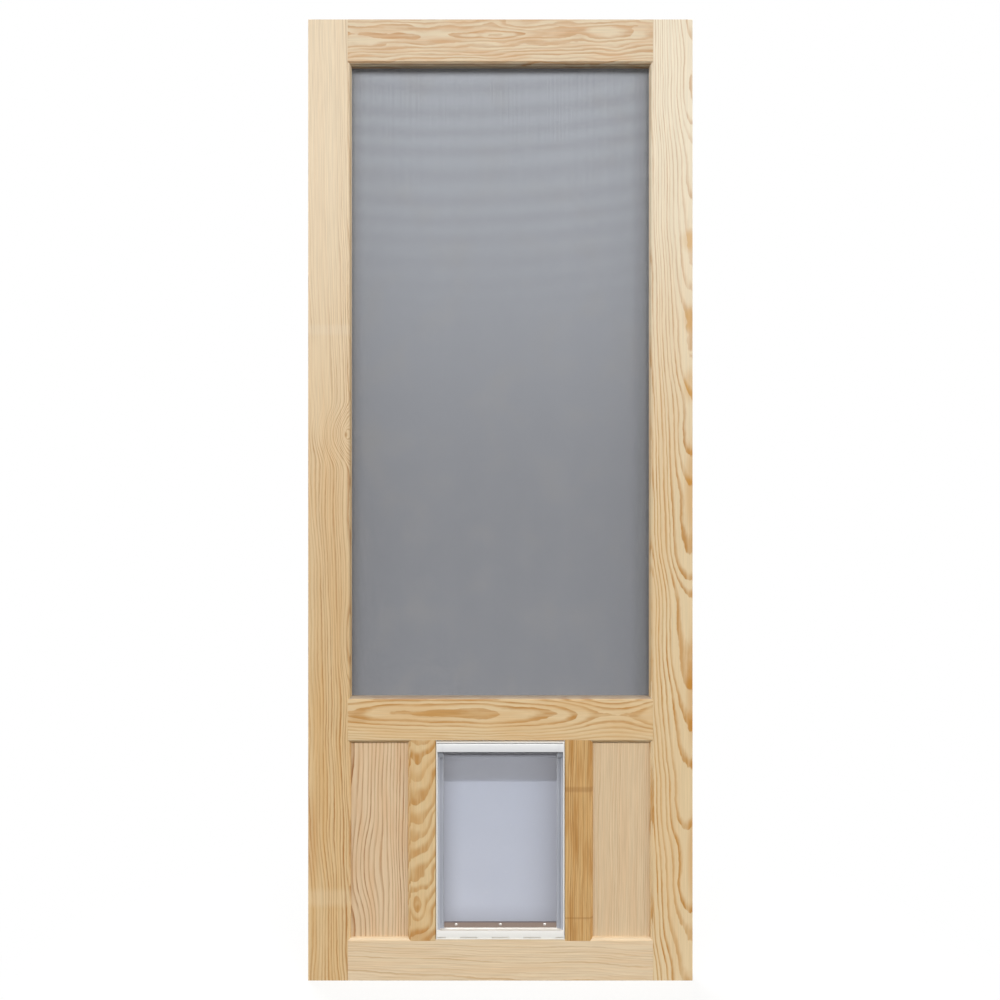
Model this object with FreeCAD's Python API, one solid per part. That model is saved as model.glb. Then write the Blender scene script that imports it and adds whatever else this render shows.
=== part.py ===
import FreeCAD, Part
import math
import os

from FreeCAD import Vector

# Wooden screen door with a pet flap, seen with its front towards -Y.
# X runs from the hinge edge to the latch edge, Y from front to rear, Z up from the door's foot.
# All sizes are in millimetres.

# Door leaf
door_width = 813.0
door_height = 2032.0
door_thickness = 25.4
arris_radius = 1.0

# Members, by the flat of their faces; each also carries a moulded edge beyond its flat
stile_flat = 83.65
top_rail_flat = 88.9
middle_rail_flat = 84.8
middle_rail_flat_foot = 508.2
bottom_rail_flat = 83.5
mullion_width = 59.0

# Ovolo moulding on the inner edges: a small step, a quarter round and a narrow ledge
ovolo_step = 1.5
ovolo_radius = 5.0
ovolo_ledge = 1.35

# Joints between the members
tenon_thickness = 8.0
tenon_length = 44.0
tenon_play = 0.1
tenon_end_room = 1.0
tenon_outer_wood = 16.0
tenon_inner_wood = 5.0
shoulder_vee = 0.5

# Lower panels and the grooves that hold them
panel_groove_width = 8.0
panel_groove_depth = 9.5
panel_play = 0.1
panel_edge_room = 1.0
stub_tenon_inset = 10.0
stub_tenon_end_room = 0.6

# Insect screen: a rebate behind the opening, and a groove with a cord that pins the cloth
screen_setback = 22.0
rebate_width = 16.0
spline_groove_inset = 5.0
spline_groove_width = 4.8
spline_groove_depth = 6.0
cloth_thickness = 0.4
cloth_tuck = 5.8
mesh_columns = 12
mesh_rows = 25
mesh_bar = 34.5
spline_radius = 2.15
spline_play = 0.05

# Pet opening between the mullions, and the white sleeve that lines it
pet_opening_width = 274.0
pet_opening_rise = 3.8
sleeve_side_gap = 1.5
sleeve_top_gap = 3.4
sleeve_wall = 2.4
sleeve_proud = 1.0

# Fittings inside the sleeve
fitting_setback = 0.7
sill_height = 16.0
drain_count = 5
drain_length = 36.0
drain_spacing = 67.0
drain_height = 2.2
drain_depth = 4.0
head_channel_height = 17.2
head_channel_top_room = 2.2
head_channel_wall = 3.0
head_channel_chamfer = 1.5
end_cap_length = 10.0
end_cap_groove = 0.6
track_setback = 4.0
track_depth = 10.0
track_wall = 1.5
track_front_reach = 5.0
track_rear_reach = 12.4

# Flap and its hinge
hinge_rod_radius = 2.5
hinge_rod_end_room = 1.0
hinge_bore_play = 0.05
hinge_block_depth = 14.0
hinge_block_drop = 8.0
hinge_drop = 5.0
flap_side_clearance = 0.7
flap_foot_clearance = 2.3
flap_thickness = 3.0
flap_hem_radius = 4.0
band_thickness = 1.5
band_top_drop = 9.0
band_height = 51.5
strip_height = 12.7
strip_thickness = 2.0
strip_side_inset = 1.0
strip_foot_inset = 0.4
rivet_spacing = 94.0
rivet_radius = 1.5
rivet_play = 0.05
rivet_head_radius = 3.0
rivet_head_height = 1.2

# How far a cutting shape runs past the face it opens
overrun = 2.0

# Sizes that follow from the ones above
centre_x = door_width / 2
front_y = -door_thickness / 2
rear_y = door_thickness / 2
ovolo_width = ovolo_radius + ovolo_ledge
ovolo_depth = ovolo_step + ovolo_radius
stile_width = stile_flat + ovolo_width
top_rail_flat_foot = door_height - top_rail_flat
middle_rail_flat_top = middle_rail_flat_foot + middle_rail_flat

screen_left = stile_width
screen_right = door_width - stile_width
screen_foot = middle_rail_flat_top + ovolo_width
screen_top = top_rail_flat_foot - ovolo_width
screen_y = front_y + screen_setback

panel_foot = bottom_rail_flat + ovolo_width
panel_top = middle_rail_flat_foot - ovolo_width
pet_opening_foot = bottom_rail_flat + pet_opening_rise
pet_left = centre_x - pet_opening_width / 2
pet_right = centre_x + pet_opening_width / 2
mullion_left = pet_left - mullion_width
panel_thickness = panel_groove_width - 2 * panel_play
panel_tongue = panel_groove_depth - panel_edge_room

top_tenon_span = (screen_top + rebate_width + tenon_inner_wood, door_height - tenon_outer_wood)
middle_tenon_span = (panel_top + panel_groove_depth + tenon_inner_wood,
                     screen_foot - rebate_width - tenon_inner_wood)
bottom_tenon_span = (tenon_outer_wood, panel_foot - panel_groove_depth - tenon_inner_wood)

sleeve_half = pet_opening_width / 2 - sleeve_side_gap
sleeve_half_inside = sleeve_half - sleeve_wall
sleeve_floor = pet_opening_foot + sleeve_wall
sleeve_top = middle_rail_flat_foot - sleeve_top_gap
sleeve_ceiling = sleeve_top - sleeve_wall
fitting_front = front_y - sleeve_proud + fitting_setback
fitting_rear = -fitting_front
sill_top = sleeve_floor + sill_height
head_channel_top = sleeve_ceiling - head_channel_top_room
head_channel_foot = head_channel_top - head_channel_height
hinge_height = head_channel_foot - hinge_drop
track_front = fitting_front + track_setback
track_top = hinge_height - hinge_block_drop
flap_half_width = sleeve_half_inside - track_rear_reach - flap_side_clearance
flap_foot = sill_top + flap_foot_clearance
flap_front = -flap_thickness / 2
flap_rear = flap_thickness / 2
strip_foot = flap_foot + strip_foot_inset
hinge_bore_radius = hinge_rod_radius + hinge_bore_play

rightward = Vector(1, 0, 0)
rearward = Vector(0, 1, 0)
upward = Vector(0, 0, 1)


def box(x_low, x_high, y_low, y_high, z_low, z_high):
    corner = Vector(x_low, y_low, z_low)
    return Part.makeBox(x_high - x_low, y_high - y_low, z_high - z_low, corner)


def rod(radius, x_low, x_high, y, z):
    return Part.makeCylinder(radius, x_high - x_low, Vector(x_low, y, z), rightward)


def mirrored(shape):
    return shape.mirror(Vector(centre_x, 0, 0), rightward)


def both_sides(shape):
    return [shape, mirrored(shape)]


# What the ovolo plane iron takes away: start is on the flat's edge, inward points to the opening
def ovolo_cut(start, run, inward, into_wood):
    def at(across, deep):
        return start + inward * across + into_wood * deep

    slant = ovolo_radius * math.sqrt(0.5)
    past_edge = ovolo_width + overrun
    step_foot = at(0, ovolo_step)
    round_foot = at(ovolo_radius, ovolo_depth)
    outline = [
        Part.LineSegment(at(0, -overrun), step_foot),
        Part.Arc(step_foot, at(slant, ovolo_depth - slant), round_foot),
        Part.LineSegment(round_foot, at(past_edge, ovolo_depth)),
        Part.LineSegment(at(past_edge, ovolo_depth), at(past_edge, -overrun)),
        Part.LineSegment(at(past_edge, -overrun), at(0, -overrun)),
    ]
    wire = Part.Wire([line.toShape() for line in outline])
    return Part.Face(wire).extrude(run)


def ovolo_cuts(x, z, run, inward, faces):
    cuts = []
    for face_y in faces:
        into_wood = rearward if face_y < 0 else -rearward
        cuts.append(ovolo_cut(Vector(x, face_y, z), run, inward, into_wood))
    return cuts


# A fine V along a shoulder, on both faces, so that the joint shows as a line
def shoulder_lines(x, z, run, across):
    lines = []
    for face_y in (front_y, rear_y):
        middle = Vector(x, face_y, z)
        corners = [
            middle - across * shoulder_vee,
            middle - rearward * shoulder_vee,
            middle + across * shoulder_vee,
            middle + rearward * shoulder_vee,
        ]
        wire = Part.makePolygon(corners + corners[:1])
        lines.append(Part.Face(wire).extrude(run))
    return lines


# Rebate and spline groove run round the screen opening through all four members
def screen_seat():
    reach = rebate_width
    rebate = box(screen_left - reach, screen_right + reach, screen_y, rear_y + overrun,
                 screen_foot - reach, screen_top + reach)
    near = spline_groove_inset
    far = near + spline_groove_width
    floor_y = screen_y - spline_groove_depth
    outer = box(screen_left - far, screen_right + far, floor_y, screen_y + overrun,
                screen_foot - far, screen_top + far)
    inner = box(screen_left - near, screen_right + near, floor_y - overrun, screen_y + 2 * overrun,
                screen_foot - near, screen_top + near)
    return rebate, outer.cut(inner)


def groove_box(x_low, x_high, z_low, z_high):
    half = panel_groove_width / 2
    return box(x_low, x_high, -half, half, z_low, z_high)


def make_left_stile(seat):
    stile = box(0, stile_width, front_y, rear_y, 0, door_height)
    outer_edges = [edge for edge in stile.Edges
                   if edge.BoundBox.XMax < arris_radius and edge.BoundBox.ZLength > door_thickness]
    stile = stile.makeFillet(arris_radius, outer_edges)
    cuts = ovolo_cuts(stile_flat, 0, upward * door_height, rightward, (front_y, rear_y))
    cuts.append(groove_box(stile_width - panel_groove_depth, stile_width + overrun,
                           panel_foot - panel_groove_depth, panel_top + panel_groove_depth))
    half = tenon_thickness / 2 + tenon_play
    mortise_end = stile_width - tenon_length - tenon_end_room
    for low, high in (top_tenon_span, middle_tenon_span, bottom_tenon_span):
        cuts.append(box(mortise_end, stile_width + overrun, -half, half, low - tenon_play, high + tenon_play))
    return stile.cut(cuts + list(seat))


# A rail fills the door from flat to flat of the stiles, and is coped over their mouldings
def make_rail(low, high, tenon_span, cuts, stiles):
    half = tenon_thickness / 2
    blank = box(stile_flat, door_width - stile_flat, front_y, rear_y, low, high)
    tenon = box(stile_width - tenon_length, stile_flat + overrun, -half, half, *tenon_span)
    blank = blank.fuse(both_sides(tenon)).removeSplitter()
    for line in shoulder_lines(stile_flat, low, upward * (high - low), rightward):
        cuts = cuts + both_sides(line)
    return blank.cut(cuts).cut(stiles)


def make_top_rail(seat, stiles):
    run = rightward * door_width
    cuts = ovolo_cuts(0, top_rail_flat_foot, run, -upward, (front_y,))
    return make_rail(screen_top, door_height, top_tenon_span, cuts + list(seat), stiles)


# Moulding and panel groove along a rail's lower edge or upper edge, on either side of the pet opening
def panel_edge_cuts(flat_z, edge_z, inward):
    floor_z = edge_z - inward.z * panel_groove_depth
    past_z = edge_z + inward.z * overrun
    groove_start = stile_width - panel_groove_depth
    groove_end = pet_left - stub_tenon_inset
    cuts = both_sides(groove_box(groove_start, groove_end, min(floor_z, past_z), max(floor_z, past_z)))
    for moulding in ovolo_cuts(0, flat_z, rightward * pet_left, inward, (front_y, rear_y)):
        cuts += both_sides(moulding)
    return cuts


def pet_notch(z_low, z_high):
    return box(pet_left, pet_right, front_y - overrun, rear_y + overrun, z_low, z_high)


def make_middle_rail(seat, stiles):
    cuts = ovolo_cuts(0, middle_rail_flat_top, rightward * door_width, upward, (front_y,))
    cuts += panel_edge_cuts(middle_rail_flat_foot, panel_top, -upward)
    cuts.append(pet_notch(panel_top - overrun, middle_rail_flat_foot))
    return make_rail(panel_top, screen_foot, middle_tenon_span, cuts + list(seat), stiles)


def make_bottom_rail(stiles):
    cuts = panel_edge_cuts(bottom_rail_flat, panel_foot, upward)
    cuts.append(pet_notch(pet_opening_foot, panel_foot + overrun))
    return make_rail(0, panel_foot, bottom_tenon_span, cuts, stiles)


# Moulded on the panel side, square towards the pet opening, coped over both rails
def make_left_mullion(rails):
    blank = box(mullion_left, pet_left, front_y, rear_y, bottom_rail_flat, middle_rail_flat_foot)
    half = panel_thickness / 2
    stub_left = mullion_left + panel_groove_depth
    stub_right = pet_left - stub_tenon_inset - tenon_play
    groove_floor = panel_foot - panel_groove_depth + stub_tenon_end_room
    groove_roof = panel_top + panel_groove_depth - stub_tenon_end_room
    stub = box(stub_left, stub_right, -half, half, groove_floor, groove_roof)
    blank = blank.fuse(stub).removeSplitter()
    run = upward * door_height
    cuts = ovolo_cuts(mullion_left + ovolo_width, 0, run, -rightward, (front_y, rear_y))
    cuts.append(groove_box(mullion_left - overrun, stub_left, 0, door_height))
    across = rightward * mullion_width
    for shoulder_z in (bottom_rail_flat, middle_rail_flat_foot):
        cuts += shoulder_lines(mullion_left, shoulder_z, across, upward)
    return blank.cut(cuts).cut(rails)


def make_left_panel():
    half = panel_thickness / 2
    return box(stile_width - panel_tongue, mullion_left + panel_tongue, -half, half,
               panel_foot - panel_tongue, panel_top + panel_tongue)


# A coarse grid of openings that stands for the weave, with about its share of open area
def mesh_openings():
    pitch_x = (screen_right - screen_left) / mesh_columns
    pitch_z = (screen_top - screen_foot) / mesh_rows
    openings = []
    for column in range(mesh_columns):
        left = screen_left + column * pitch_x + mesh_bar / 2
        for row in range(mesh_rows):
            foot = screen_foot + row * pitch_z + mesh_bar / 2
            openings.append(box(left, left + pitch_x - mesh_bar, screen_y - overrun,
                                screen_y + cloth_thickness + overrun, foot, foot + pitch_z - mesh_bar))
    return openings


# A flat sheet on the rebate with its edges tucked down the groove's inner wall
def make_screen_cloth():
    near = spline_groove_inset
    far = near + cloth_thickness
    tuck_y = screen_y - cloth_tuck
    tray = box(screen_left - far, screen_right + far, tuck_y, screen_y + cloth_thickness,
               screen_foot - far, screen_top + far)
    hollow = box(screen_left - near, screen_right + near, tuck_y - overrun, screen_y,
                 screen_foot - near, screen_top + near)
    return tray.cut([hollow] + mesh_openings())


def make_splines():
    beside = spline_groove_inset + cloth_thickness + spline_play + spline_radius
    y = screen_y - spline_groove_depth + spline_play + spline_radius
    left_x = screen_left - beside
    right_x = screen_right + beside
    low_z = screen_foot - beside
    high_z = screen_top + beside
    end = spline_radius + spline_play
    upright_length = high_z - low_z - 2 * end
    left = Part.makeCylinder(spline_radius, upright_length, Vector(left_x, y, low_z + end), upward)
    return {
        "spline_top": rod(spline_radius, left_x - spline_radius, right_x + spline_radius, y, high_z),
        "spline_bottom": rod(spline_radius, left_x - spline_radius, right_x + spline_radius, y, low_z),
        "spline_left": left,
        "spline_right": mirrored(left),
    }


def make_pet_sleeve():
    deep = rear_y + sleeve_proud
    outer = box(centre_x - sleeve_half, centre_x + sleeve_half, -deep, deep, pet_opening_foot, sleeve_top)
    inner = box(centre_x - sleeve_half_inside, centre_x + sleeve_half_inside, -deep - overrun, deep + overrun,
                sleeve_floor, sleeve_ceiling)
    return outer.cut(inner)


# Threshold block with drain slots along its foot, the outer ones running out at its ends
def make_sill():
    sill = box(centre_x - sleeve_half_inside, centre_x + sleeve_half_inside, fitting_front, fitting_rear,
               sleeve_floor, sill_top)
    slots = []
    for number in range(drain_count):
        middle = centre_x + (number - (drain_count - 1) / 2) * drain_spacing
        slots.append(box(middle - drain_length / 2, middle + drain_length / 2, fitting_front - overrun,
                         fitting_front + drain_depth, sleeve_floor - overrun, sleeve_floor + drain_height))
    return sill.cut(slots)


# Header over the flap: a channel open downwards, its ends marked off as caps
def make_head_channel():
    half = sleeve_half_inside
    top = head_channel_top
    blank = box(centre_x - half, centre_x + half, fitting_front, fitting_rear, head_channel_foot, top)
    top_edges = [edge for edge in blank.Edges
                 if edge.BoundBox.ZMin > head_channel_foot and edge.BoundBox.XLength > door_thickness]
    blank = blank.makeChamfer(head_channel_chamfer, top_edges)
    wall = head_channel_wall
    room = box(centre_x - half + wall, centre_x + half - wall, fitting_front + wall, fitting_rear - wall,
               head_channel_foot - overrun, top - wall)
    groove_left = centre_x - half + end_cap_length
    groove = box(groove_left, groove_left + end_cap_groove, fitting_front - overrun,
                 fitting_front + end_cap_groove, head_channel_foot - overrun, top + overrun)
    return blank.cut([room] + both_sides(groove))


# Upright channel set back beside the flap; its rear lip reaches nearly to the flap's edge and turns
# rearwards there as a jamb
def make_left_track():
    back = centre_x - sleeve_half_inside
    face = back + track_rear_reach
    rear = track_front + track_depth
    front_lip_rear = track_front + track_wall
    web = box(back, back + track_wall, track_front, rear, sill_top, track_top)
    front_lip = box(back, back + track_front_reach, track_front, front_lip_rear, sill_top, track_top)
    rear_lip = box(back, face, rear - track_wall, rear, sill_top, track_top)
    jamb = box(face - track_wall, face, rear - track_wall, fitting_rear, sill_top, track_top)
    return web.fuse([front_lip, rear_lip, jamb]).removeSplitter()


def make_left_hinge_block():
    back = centre_x - sleeve_half_inside
    face = back + track_rear_reach
    half = hinge_block_depth / 2
    block = box(back, face, -half, half, track_top, head_channel_foot)
    return block.cut(rod(hinge_bore_radius, back - overrun, face + overrun, 0, hinge_height))


def make_hinge_rod():
    half = sleeve_half_inside - hinge_rod_end_room
    return rod(hinge_rod_radius, centre_x - half, centre_x + half, 0, hinge_height)


def rivet_centres():
    z = strip_foot + strip_height / 2
    return [Vector(centre_x + side * rivet_spacing, 0, z) for side in (-1, 0, 1)]


def rivet_holes():
    reach = flap_thickness + strip_thickness + overrun
    return [Part.makeCylinder(rivet_radius + rivet_play, 2 * reach, middle - rearward * reach, rearward)
            for middle in rivet_centres()]


# Flexible sheet with a hem rolled round the hinge rod, which hangs just below the header
def make_flap_sheet():
    left = centre_x - flap_half_width
    right = centre_x + flap_half_width
    sheet = box(left, right, flap_front, flap_rear, flap_foot, hinge_height)
    hem = rod(flap_hem_radius, left, right, 0, hinge_height)
    bore = rod(hinge_bore_radius, left - overrun, right + overrun, 0, hinge_height)
    return sheet.fuse(hem).cut([bore] + rivet_holes())


def make_hinge_band():
    top = hinge_height - band_top_drop
    return box(centre_x - flap_half_width, centre_x + flap_half_width, flap_rear, flap_rear + band_thickness,
               top - band_height, top)


def make_magnet_strip():
    half = flap_half_width - strip_side_inset
    strip = box(centre_x - half, centre_x + half, flap_front - strip_thickness, flap_front,
                strip_foot, strip_foot + strip_height)
    return strip.cut(rivet_holes())


def make_rivet(middle):
    strip_front = flap_front - strip_thickness
    shank_length = flap_rear - strip_front
    shank = Part.makeCylinder(rivet_radius, shank_length, middle + rearward * strip_front, rearward)
    rise = rivet_head_height
    ball_radius = (rivet_head_radius ** 2 + rise ** 2) / (2 * rise)
    crown = middle + rearward * (strip_front - rise)
    ball = Part.makeSphere(ball_radius, crown + rearward * ball_radius)
    head_column = Part.makeCylinder(rivet_head_radius + overrun, rise, crown, rearward)
    tail = Part.makeCylinder(rivet_head_radius, rise, middle + rearward * flap_rear, rearward)
    return shank.fuse([ball.common(head_column), tail])


def make_rivets():
    return Part.makeCompound([make_rivet(middle) for middle in rivet_centres()])


def build():
    seat = screen_seat()
    stiles = both_sides(make_left_stile(seat))
    middle_rail = make_middle_rail(seat, stiles)
    bottom_rail = make_bottom_rail(stiles)
    nodes = {
        "top_rail": make_top_rail(seat, stiles),
        "middle_rail": middle_rail,
        "bottom_rail": bottom_rail,
        "screen_cloth": make_screen_cloth(),
        "pet_sleeve": make_pet_sleeve(),
        "sill": make_sill(),
        "head_channel": make_head_channel(),
        "hinge_rod": make_hinge_rod(),
        "flap_sheet": make_flap_sheet(),
        "flap_hinge_band": make_hinge_band(),
        "magnet_strip": make_magnet_strip(),
        "strip_rivets": make_rivets(),
    }
    nodes.update(make_splines())
    pairs = {
        "stile": stiles,
        "mullion": both_sides(make_left_mullion([middle_rail, bottom_rail])),
        "panel": both_sides(make_left_panel()),
        "track": both_sides(make_left_track()),
        "hinge_block": both_sides(make_left_hinge_block()),
    }
    for name, (left, right) in pairs.items():
        nodes["left_" + name] = left
        nodes["right_" + name] = right
    return nodes


os.makedirs("parts", exist_ok=True)
for node, shape in build().items():
    shape.exportStep("parts/" + node + ".step")
    print(node, "solids", len(shape.Solids), "valid", shape.isValid(), "mm3", round(shape.Volume))
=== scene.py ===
import bpy
import math
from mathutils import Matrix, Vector


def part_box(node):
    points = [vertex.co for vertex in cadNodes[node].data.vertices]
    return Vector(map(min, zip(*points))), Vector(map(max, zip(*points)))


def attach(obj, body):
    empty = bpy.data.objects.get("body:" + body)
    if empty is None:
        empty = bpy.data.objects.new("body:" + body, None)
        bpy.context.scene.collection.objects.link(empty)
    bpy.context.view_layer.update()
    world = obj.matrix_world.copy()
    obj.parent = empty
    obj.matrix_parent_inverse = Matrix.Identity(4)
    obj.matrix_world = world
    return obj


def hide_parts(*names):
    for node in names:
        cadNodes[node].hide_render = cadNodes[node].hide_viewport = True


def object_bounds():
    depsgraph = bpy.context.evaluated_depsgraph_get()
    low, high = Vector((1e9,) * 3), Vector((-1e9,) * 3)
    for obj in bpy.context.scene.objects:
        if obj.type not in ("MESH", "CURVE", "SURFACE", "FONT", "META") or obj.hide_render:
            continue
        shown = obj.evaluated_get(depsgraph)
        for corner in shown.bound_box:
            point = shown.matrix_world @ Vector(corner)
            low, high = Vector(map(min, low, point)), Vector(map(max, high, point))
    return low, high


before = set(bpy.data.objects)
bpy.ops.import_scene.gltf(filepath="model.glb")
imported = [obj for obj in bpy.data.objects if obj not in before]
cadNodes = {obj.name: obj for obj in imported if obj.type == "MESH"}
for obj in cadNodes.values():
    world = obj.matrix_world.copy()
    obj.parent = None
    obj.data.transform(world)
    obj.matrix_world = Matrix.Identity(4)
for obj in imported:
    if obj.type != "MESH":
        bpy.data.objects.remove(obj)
cadLow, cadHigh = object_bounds()
bpy.ops.object.select_all(action="DESELECT")
print("frame loaded,", len(cadNodes), "nodes")

mm = 0.001
doorMiddle = (cadLow + cadHigh) / 2
noiseLow, noiseHigh = 0.3, 0.7  # most of a noise texture's values lie between these
smooth = {"interpolation_type": "SMOOTHSTEP"}


def linear(hexText):  # sRGB hex as on a paint card, to the linear colour that the shader wants
    channels = [int(hexText[i:i + 2], 16) / 255 for i in (1, 3, 5)]
    return [c / 12.92 if c <= 0.04045 else ((c + 0.055) / 1.055) ** 2.4 for c in channels] + [1.0]


# One shader node, with its settings, values and links. Sockets that go by number: Math works on 0 to 2,
# MapRange takes 0 from the range 1 to 2 to the range 3 to 4, Mix lays 7 over 6 by the share 0, and
# VectorMath scales 0 by 3.
def add(tree, kind, inputs=None, **settings):
    new = tree.nodes.new("ShaderNode" + kind)
    for key, value in settings.items():
        setattr(new, key, value)
    for key, value in (inputs or {}).items():
        if isinstance(value, str):
            value = linear(value)
        if isinstance(value, bpy.types.Node):
            value = next(out for out in value.outputs if out.enabled)
        if isinstance(value, bpy.types.NodeSocket):
            tree.links.new(value, new.inputs[key])
        else:
            new.inputs[key].default_value = value
    return new


def newMaterial(name, **values):  # an empty material with constant values set on its shader
    mat = bpy.data.materials.new(name)
    mat.use_nodes = True
    shader = mat.node_tree.nodes["Principled BSDF"]
    for key, value in values.items():
        shader.inputs[key.replace("_", " ")].default_value = value
    return mat, mat.node_tree, shader


def inMillimetres(tree, middle=(0, 0, 0)):  # place on a piece, in millimetres from its middle
    spot = add(tree, "TexCoord").outputs["Object"]
    return add(tree, "Mapping", {"Vector": spot, "Location": [-each / mm for each in middle],
                                 "Scale": [1 / mm] * 3})


# Colour, roughness and bump to the shader. The layers lie over the base colour, each by its share, and
# the tone then darkens or lightens all of them. A bump is its strength, and its depth in millimetres.
def surface(tree, shader, base, layers, rough, height, bump, tone=None):
    colour = base
    for share, over in layers:
        colour = add(tree, "Mix", {0: share, 6: colour, 7: over}, data_type="RGBA")
    if tone is not None:
        colour = add(tree, "VectorMath", {0: colour, 3: tone}, operation="SCALE")
    strength, depth = bump
    relief = add(tree, "Bump", {"Height": height, "Strength": strength, "Distance": depth * mm})
    for socket, node in (("Base Color", colour), ("Roughness", rough), ("Normal", relief)):
        tree.links.new(next(out for out in node.outputs if out.enabled), shader.inputs[socket])


def dress(mat, *names):  # gives CAD nodes their material
    for name in names:
        slots = cadNodes[name].data.materials
        slots.clear()
        slots.append(mat)


# camera level with the middle of the door, as the photograph was taken
camera = {
    "distance": 2.3,       # to the front face; near enough to show the underside of the top rail
    "doorShare": 0.9615,   # of the picture's height that the door fills
    "sideways": -0.0008,   # the door stands a hair right of the middle
    "sensor": 36.0,
}
viewHeight = (cadHigh.z - cadLow.z) / camera["doorShare"]
bpy.ops.object.camera_add(
    location=(doorMiddle.x + camera["sideways"], cadLow.y - camera["distance"], doorMiddle.z),
    rotation=(math.radians(90), 0, 0))
cam = bpy.context.object
cam.data.sensor_width = camera["sensor"]
cam.data.lens = camera["sensor"] * camera["distance"] / viewHeight
bpy.context.scene.camera = cam
bpy.context.scene.view_settings.view_transform = "Standard"
print("camera set")

# soft studio: a long strip of lights above the camera, stronger on the right, one light behind the door
# and one to each side for its edges. They are suns, so the door is as light at its foot as at its top.
studio = {
    "room": "#FFFFFF",
    "roomStrength": 0.045,
    "standOff": 4.0,
    "lights": {  # where each shines from, its strength, and how wide it looks
        "right_near": ((0.4, -1.0, 0.68), 1.13, 22),
        "right_middle": ((1.2, -1.0, 0.68), 0.63, 22),
        "right_far": ((2.8, -1.0, 0.68), 0.68, 22),
        "left_near": ((-0.4, -1.0, 0.68), 0.95, 22),
        "left_middle": ((-1.2, -1.0, 0.68), 0.53, 22),
        "left_far": ((-2.8, -1.0, 0.68), 0.57, 22),
        "right_edge": ((1.0, 0.0, 0.35), 0.7, 8),
        "left_edge": ((-1.0, 0.0, 0.35), 0.7, 8),
        "back": ((-0.4, 1.0, 0.5), 3.3, 40),
    },
}
world = bpy.data.worlds.new("studio_room")
bpy.context.scene.world = world
world.use_nodes = True
roomTree = world.node_tree
roomTree.nodes.clear()
rays = add(roomTree, "LightPath").outputs
seen = rays["Is Camera Ray"]
for kind in ("Is Glossy Ray", "Is Transmission Ray"):
    seen = add(roomTree, "Math", {0: seen, 1: rays[kind]}, operation="MAXIMUM")
dim = add(roomTree, "Background", {"Color": studio["room"], "Strength": studio["roomStrength"]})
bright = add(roomTree, "Background", {"Color": studio["room"], "Strength": 1.0})
both = add(roomTree, "MixShader", {0: seen, 1: dim, 2: bright})
add(roomTree, "OutputWorld", {"Surface": both})

for name, (shinesFrom, strength, spread) in studio["lights"].items():
    bpy.ops.object.light_add(type="SUN", location=Vector(shinesFrom) * studio["standOff"])
    light = bpy.context.object
    light.name = name + "_light"
    light.data.energy = strength
    light.data.angle = math.radians(spread)
    light.rotation_euler = Vector(shinesFrom).to_track_quat("Z", "Y").to_euler()
print("lamps set")

# pale floor just under the door's foot, with a soft shadow round it; lengths in metres
floorLook = {
    "size": 30.0, "drop": 0.5 * mm, "colour": "#F2F1EE", "rough": 0.9, "white": "#FFFFFF",
    "shadowShare": 0.18, "shadowFrom": 0.35, "shadowReach": 1.1,
}
floorAt = (doorMiddle.x, 0, cadLow.z - floorLook["drop"])
bpy.ops.mesh.primitive_plane_add(size=floorLook["size"], location=floorAt)
floor = bpy.context.object
floor.name = "studio_floor"
floorMat, tree, shader = newMaterial("pale_floor_paper", Base_Color=linear(floorLook["colour"]),
                                     Roughness=floorLook["rough"])
rays = add(tree, "LightPath").outputs
seen = add(tree, "Math", {0: rays["Is Camera Ray"], 1: rays["Is Transmission Ray"]}, operation="MAXIMUM")
spot = add(tree, "TexCoord").outputs["Object"]
away = add(tree, "VectorMath", {0: spot}, operation="LENGTH").outputs["Value"]
away = add(tree, "MapRange", {0: away, 1: floorLook["shadowFrom"], 2: floorLook["shadowReach"],
                              3: 1 - floorLook["shadowShare"], 4: 1.0})
share = add(tree, "Math", {0: seen, 1: away}, operation="MULTIPLY")
white = add(tree, "Emission", {"Color": floorLook["white"], "Strength": 1.0})
mixed = add(tree, "MixShader", {0: share, 1: shader, 2: white})
tree.links.new(mixed.outputs[0], tree.nodes["Material Output"].inputs["Surface"])
floor.data.materials.append(floorMat)
floor.visible_diffuse = False  # keeps the floor from lighting the undersides
print("floor laid")

# Planed softwood, bare: pale earlywood with harder, darker and slightly shinier latewood lines.
# The rings are shells round a pith line that runs beside the board, so faces, edges and ends agree.
planedPine = {  # what all the boards share
    "waverLength": 18.0, "waverWidth": 7.0,      # millimetres, a short shake in the lines
    "waveDetail": 0.6, "waverDetail": 1.0,
    "unevenScale": 0.37, "unevenBy": 1.1,        # by how many rings their widths differ
    "lateEnd": 0.94,                             # of a ring; each line stops sharply
    "patchLength": 90.0, "patchWidth": 7.0,      # a line comes and goes along its length
    "patchRange": (0.34, 0.6), "patchFaintest": 0.5,
    "cloudRange": (0.38, 0.7),
    "fibreLength": 80.0, "fibreWidth": 2.2,      # real ones are under 0.1 mm, drawn coarser so that they show
    "fibreHeight": 0.5,
    "knotEdge": 0.3, "knotHeart": 0.06,          # of a knot's oval that its dark core fills
    "quietHeart": 0.45, "bandHeart": 0.3, "stainHeart": 0.3,
    "paleOnLines": 0.5,                          # lines stay darker where a board goes pale
    "stainOffLines": 0.5,                        # resin soaks mostly into the latewood
    "rimDepth": 3.0, "rimEnd": 10.0,             # millimetres over which the painted shade at the rims thins out
    "rough": (0.62, 0.46),                       # early and late wood
    "bump": (0.35, 0.12),
}


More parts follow.
